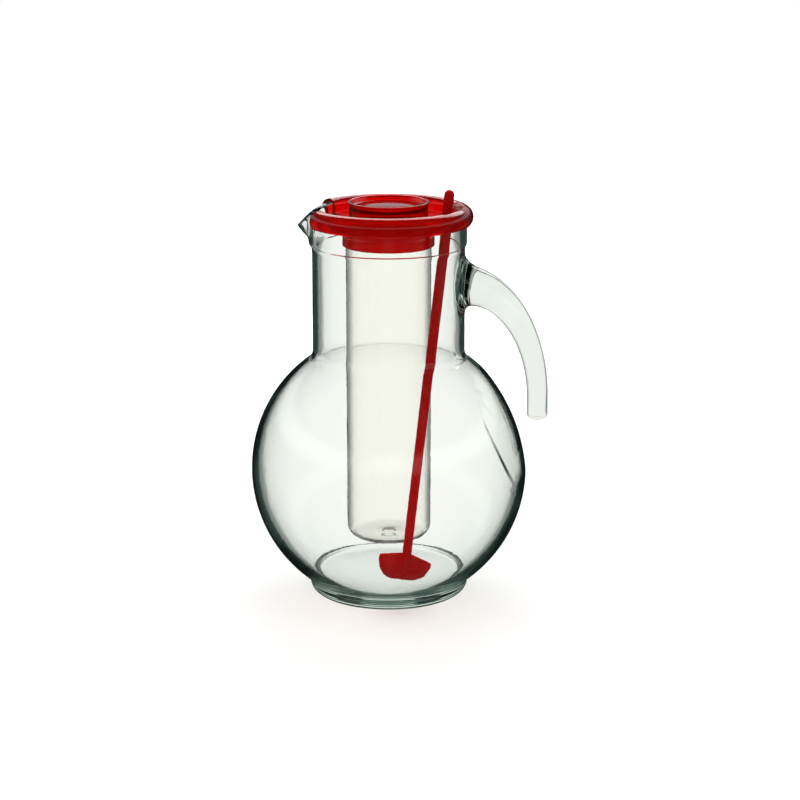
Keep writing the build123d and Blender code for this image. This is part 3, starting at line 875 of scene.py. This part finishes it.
# %% Build the see-through materials
def see_through(name, colour, index, transmission, tint, density, scale, wave, haze):
    """A clear material with ripple, haze and a tinted depth."""
    material, shader, _ = moulded(name, scale, scale * FINE_RATIO, wave, 1, haze)
    nodes, links = material.node_tree.nodes, material.node_tree.links
    output = nodes["Material Output"]
    fill(shader, {"Base Color": (*colour, 1), "IOR": index, "Transmission Weight": transmission})
    depth = nodes.new("ShaderNodeVolumeAbsorption")
    fill(depth, {"Color": (*tint, 1), "Density": density})
    links.new(depth.outputs["Volume"], output.inputs["Volume"])
    path = nodes.new("ShaderNodeLightPath")
    through = nodes.new("ShaderNodeBsdfTransparent")
    fill(through, {"Color": (*colour, 1)})
    either = nodes.new("ShaderNodeMixShader")
    links.new(path.outputs["Is Shadow Ray"], either.inputs["Fac"])
    links.new(shader.outputs["BSDF"], either.inputs[1])
    links.new(through.outputs["BSDF"], either.inputs[2])
    links.new(either.outputs["Shader"], output.inputs["Surface"])
    return material


dress(jug, see_through(
    "pressed_glass", colour=(0.98, 1.0, 0.99), index=1.5, transmission=1.0,
    tint=(0.36, 0.62, 0.53), density=8.0, scale=22.0, wave=0.25, haze=(0.0, 0.01),
))
dress(tube, see_through(
    "clear_plastic", colour=(0.995, 0.985, 0.962), index=1.49, transmission=1.0,
    tint=(0.70, 0.60, 0.45), density=6.0, scale=30.0, wave=0.2, haze=(0.0, 0.02),
))
dress(lid, see_through(
    "red_see_through_plastic", colour=(1.0, 0.006, 0.004), index=1.5, transmission=0.92,
    tint=(0.5, 0.02, 0.015), density=150.0, scale=40.0, wave=0.15, haze=(0.03, 0.09),
))

# %% [markdown]
# ## Red plastic for the stirrer
# The stirrer is the same red but thicker, so hardly any light comes through. Its colour varies a little along
# the flow of the moulding, and its polish is broken by fine handling marks.

# %% Build the stirrer's red
red, shader, wavy = moulded(
    "red_moulded_plastic", scale=60.0, fine_scale=600.0, wave=0.15, depth=0.3, haze=(0.18, 0.34)
)
nodes, links = red.node_tree.nodes, red.node_tree.links
fill(shader, {"IOR": 1.5, "Specular IOR Level": 0.12})
flow = nodes.new("ShaderNodeValToRGB")
flow.color_ramp.elements[0].color = (0.34, 0.0005, 0.001, 1)
flow.color_ramp.elements[1].color = (0.54, 0.001, 0.002, 1)
links.new(wavy.outputs["Height"], flow.inputs["Fac"])
links.new(flow.outputs["Color"], shader.inputs["Base Color"])
dress(stirrer, red)

# %% [markdown]
# ## The floor
# The jug stands on a sheet of white paper that keeps its soft shadow. Far paper gets less lamp light, so it
# would turn grey towards the horizon. A glow that grows with the distance, and that only the camera sees, keeps
# it white without any more light on the jug. Glass and gloss look past the paper into the tent.

# %% Lay the floor
GLOW_REACH, GLOW_LEVEL = (0.15, 1.2), (0.14, 1.0)
bpy.ops.object.select_all(action="DESELECT")
bpy.ops.mesh.primitive_plane_add(size=8)
floor = bpy.context.active_object
floor.name = "floor"
floor.visible_transmission = floor.visible_glossy = False
paper = bpy.data.materials.new("white_paper")
paper.use_nodes = True
nodes, links = paper.node_tree.nodes, paper.node_tree.links
shader = nodes["Principled BSDF"]
fill(shader, {"Base Color": (0.86, 0.86, 0.86, 1), "Roughness": 0.9, "Specular IOR Level": 0.0})
fill(shader, {"Emission Color": (1, 1, 1, 1)})
path = nodes.new("ShaderNodeLightPath")
place = nodes.new("ShaderNodeTexCoord")
reach = nodes.new("ShaderNodeVectorMath")
reach.operation = "LENGTH"
links.new(place.outputs["Object"], reach.inputs[0])
far = nodes.new("ShaderNodeMapRange")
fill(far, {"From Min": GLOW_REACH[0], "From Max": GLOW_REACH[1]})
fill(far, {"To Min": GLOW_LEVEL[0], "To Max": GLOW_LEVEL[1]})
links.new(reach.outputs["Value"], far.inputs["Value"])
lift = nodes.new("ShaderNodeMath")
lift.operation = "MULTIPLY"
links.new(far.outputs["Result"], lift.inputs[0])
links.new(path.outputs["Is Camera Ray"], lift.inputs[1])
links.new(lift.outputs["Value"], shader.inputs["Emission Strength"])
floor.data.materials.append(paper)
print("floor laid with", paper.name)

# %% [markdown]
# ## The light tent
# Clear glass has no colour of its own: it shows what surrounds it. On plain white its edges would vanish, so
# such things are photographed in a white tent with dark strips hung in it. The tent is the world here, built
# from a handful of Math nodes, and four helpers keep their wiring readable.

# %% Helpers for the tent
world = bpy.data.worlds.new("light_tent")
scene.world = world
world.use_nodes = True
nodes, links = world.node_tree.nodes, world.node_tree.links
nodes.clear()
output = nodes.new("ShaderNodeOutputWorld")
direction = nodes.new("ShaderNodeTexCoord")
parts = nodes.new("ShaderNodeSeparateXYZ")
links.new(direction.outputs["Generated"], parts.inputs["Vector"])


def step(operation, *inputs):
    """A Math node fed with numbers or with other nodes' outputs."""
    node = nodes.new("ShaderNodeMath")
    node.operation = operation
    for socket, value in zip(node.inputs, inputs):
        if isinstance(value, (int, float)):
            socket.default_value = value
        else:
            links.new(value, socket)
    return node.outputs["Value"]


def fade(value, low, high):
    """A smooth step from 0 at low to 1 at high."""
    node = nodes.new("ShaderNodeMapRange")
    node.interpolation_type = "SMOOTHSTEP"
    fill(node, {"From Min": low, "From Max": high})
    links.new(value, node.inputs["Value"])
    return node.outputs["Result"]


def pick(test, yes, no):
    """One value where a test is 1 and another where it is 0."""
    return step("ADD", step("MULTIPLY", test, yes), step("MULTIPLY", step("SUBTRACT", 1.0, test), no))


def more_than(value, count):
    """1 where a counted value is more than a whole number."""
    return step("GREATER_THAN", value, count + 0.5)


print("tent ready for its nodes:", world.name)

# %% [markdown]
# ## The dark strips
# The strips hang upright in the tent, ahead of the camera and behind it, a little to each side. The jug's round
# walls bend light sideways near their edges, so that is where the strips show up, as the grey bands that give
# glass its outline. The solid handle bends light much further, so it gets a pair of strips of its own.

# %% Hang the strips
STRIPS, FRONT_AND_BACK = 8, 2
STRIP_EDGE, STRIP_TOP, STRIP_FOOT, STRIP_AHEAD = (0.0, -0.6), (0.75, 0.5), (-0.85, -0.6), (0.05, 0.3)
ROD_SIDE, ROD_SIDE_END, ROD_SLOPE = (0.5, 0.86), (0.96, 0.9), (0.6, 0.85)
turned = radians(CAMERA_TURN)
compass = step("ADD", step("ARCTAN2", parts.outputs["X"], parts.outputs["Y"]), turned)
wave = step("COSINE", step("MULTIPLY", compass, STRIPS))
height = parts.outputs["Z"]
strip = step("MULTIPLY", fade(wave, *STRIP_EDGE), fade(height, *STRIP_TOP))
strip = step("MULTIPLY", strip, fade(height, *STRIP_FOOT))
ahead = step("COSINE", step("MULTIPLY", compass, FRONT_AND_BACK))
strip = step("MULTIPLY", strip, fade(ahead, *STRIP_AHEAD))
aside = step("ABSOLUTE", step("SINE", compass))
rod_strip = step("MULTIPLY", fade(aside, *ROD_SIDE), fade(aside, *ROD_SIDE_END))
rod_strip = step("MAXIMUM", rod_strip, fade(step("ABSOLUTE", height), *ROD_SLOPE))
print("strips ahead and behind, and one pair for the handle")

# %% [markdown]
# ## Light that comes straight through
# A ray that only passed through glass should find a white tent with its strips. The Light Path node counts how
# many surfaces it crossed: two for the handle, four or more for the hollow jug. Each surface takes a little
# light away, so the tent answers with a little more, and strips seen through many walls are kept weak. Through
# the lid's flange and skirt a ray crosses ten surfaces or more, and there the red should stay deep.

# %% Set the light that comes through
STRIP_DEPTH, DEEP_STRIP_DEPTH, ROD_STRIP_DEPTH, SURFACE_GAIN = 0.55, 0.25, 0.75, 0.07
ROD_SURFACES, DEEP_SURFACES, MOST_SURFACES, MANY_SURFACES, MANY_LEVEL = 2, 4, 6.0, 9, 0.5
path = nodes.new("ShaderNodeLightPath")
crossed = path.outputs["Transmission Depth"]
hollow = more_than(crossed, ROD_SURFACES)
rod_strip = step("MULTIPLY", rod_strip, ROD_STRIP_DEPTH)
strip_depth = pick(more_than(crossed, DEEP_SURFACES), DEEP_STRIP_DEPTH, STRIP_DEPTH)
clear = step("SUBTRACT", 1.0, pick(hollow, step("MULTIPLY", strip, strip_depth), rod_strip))
counted = step("MINIMUM", crossed, MOST_SURFACES)
gain = step("MULTIPLY_ADD", counted, SURFACE_GAIN, 1 - ROD_SURFACES * SURFACE_GAIN)
gain = pick(more_than(crossed, MANY_SURFACES), MANY_LEVEL, gain)
clear = step("MULTIPLY", clear, gain)
print("clear light set")

# %% [markdown]
# ## Light that was mirrored
# At the jug's edges light is thrown back inside the wall and leaves it sideways. In a photograph those edges
# are dark green, with a pale line here and there, because the room beside the tent is dark. So mirrored rays
# find a dim tent with one bright band low above the horizon, and rays that were caught in the base for long,
# a middle grey.

# %% Set the mirrored light
LINE_LEVEL, MIRROR_LEVEL, TRAPPED_LEVEL, DEEP_MIRROR_LEVEL = 0.05, 0.02, 0.15, 0.4
HORIZON_LOW, HORIZON_HIGH, LINE_EDGE = (0.1, 0.2), (0.44, 0.34), (0.0, 0.6)
GLOW_INSIDE, GLOW_OUTSIDE, CAUGHT_SURFACES, BASE_SURFACES = 0.8, 0.6, 3, 5
bounced = path.outputs["Glossy Depth"]
mirrored, mirrored_twice = more_than(bounced, 0), more_than(bounced, 1)
inside = more_than(crossed, 0)
trapped = step("MULTIPLY", more_than(crossed, CAUGHT_SURFACES), mirrored_twice)
deep = step("MAXIMUM", more_than(crossed, BASE_SURFACES), trapped)
horizon = step("MULTIPLY", fade(height, *HORIZON_LOW), fade(height, *HORIZON_HIGH))
between = step("MULTIPLY", step("SUBTRACT", 1.0, strip), GLOW_INSIDE)
glow = step("MULTIPLY", horizon, pick(inside, between, GLOW_OUTSIDE))
line = fade(wave, *LINE_EDGE)
glow = step("MAXIMUM", glow, step("MULTIPLY", line, LINE_LEVEL))
dim = pick(mirrored_twice, TRAPPED_LEVEL, MIRROR_LEVEL)
mirror = pick(deep, DEEP_MIRROR_LEVEL, step("ADD", glow, dim))
print("mirrored light set")

# %% [markdown]
# ## Joining the tent
# The two kinds of light are put together here. The camera itself sees plain white, and matt surfaces get an
# even, moderate level. Light through the glass is a trace warmer than white, and the dim mirrored light has the
# green of a thick glass edge.

# %% Join the tent's light and colour
ROOM_LEVEL = 0.35
WARM, CLOTH = (1.0, 0.985, 0.955), (0.6, 0.95, 0.82)
level = pick(path.outputs["Is Transmission Ray"], clear, ROOM_LEVEL)
level = pick(mirrored, mirror, level)
level = step("MAXIMUM", level, path.outputs["Is Camera Ray"])
shade = step("MULTIPLY", mirrored, step("SUBTRACT", 1.0, step("MAXIMUM", deep, horizon)))
hue = None
for share, tint in ((path.outputs["Is Transmission Ray"], WARM), (shade, CLOTH)):
    cloth = nodes.new("ShaderNodeMix")
    cloth.data_type = "RGBA"
    links.new(share, cloth.inputs["Factor"])
    cloth.inputs[6].default_value = (1, 1, 1, 1)
    if hue:
        links.new(hue, cloth.inputs[6])
    cloth.inputs[7].default_value = (*tint, 1)
    hue = cloth.outputs[2]
background = nodes.new("ShaderNodeBackground")
links.new(hue, background.inputs["Color"])
links.new(level, background.inputs["Strength"])
links.new(background.outputs["Background"], output.inputs["Surface"])
print("tent joined with", len(nodes), "nodes")

# %% [markdown]
# ## The lamps
# Four round softboxes give the matt surfaces their shading: a key and a fill in front, one overhead and one
# behind. They stay at a plain level, so that a colour comes out about as it is written. Only the one behind
# shows in reflections, where it draws the pale line along the lid's crest. The others would paint windows on
# the bowl.

# %% Set the lamps
LAMPS = (  # name, place and size in metres, watts
    ("key_softbox", (-0.9, -0.9, 1.3), (1.0, 1.0), 5.0),
    ("fill_softbox", (1.1, -0.8, 0.9), (1.0, 1.0), 2.5),
    ("top_softbox", (0.0, 0.25, 1.7), (1.2, 0.8), 11.0),
    ("back_softbox", (0.0, 1.3, 1.3), (1.8, 1.2), 16.0),
)
AIM = Vector((0, 0, 0.13))
for name, place, size, watts in LAMPS:
    data = bpy.data.lights.new(name, "AREA")
    data.shape = "ELLIPSE"
    data.size, data.size_y = size
    data.energy = watts
    lamp = bpy.data.objects.new(name, data)
    lamp.location = place
    lamp.rotation_euler = (AIM - Vector(place)).to_track_quat("-Z", "Y").to_euler()
    lamp.visible_transmission = False
    lamp.visible_glossy = name.startswith("back")
    scene.collection.objects.link(lamp)
    print(name, "gives", watts, "watts")

# %% [markdown]
# ## Finish
# Clear pieces inside one another need many bounces before light gets out again, and the view transform stays
# plain.

# %% Set the render's light paths and colour, and finish
scene.cycles.max_bounces = 32
scene.cycles.transmission_bounces = 32
scene.cycles.glossy_bounces = 12
scene.cycles.transparent_max_bounces = 32
scene.view_settings.view_transform = "Standard"
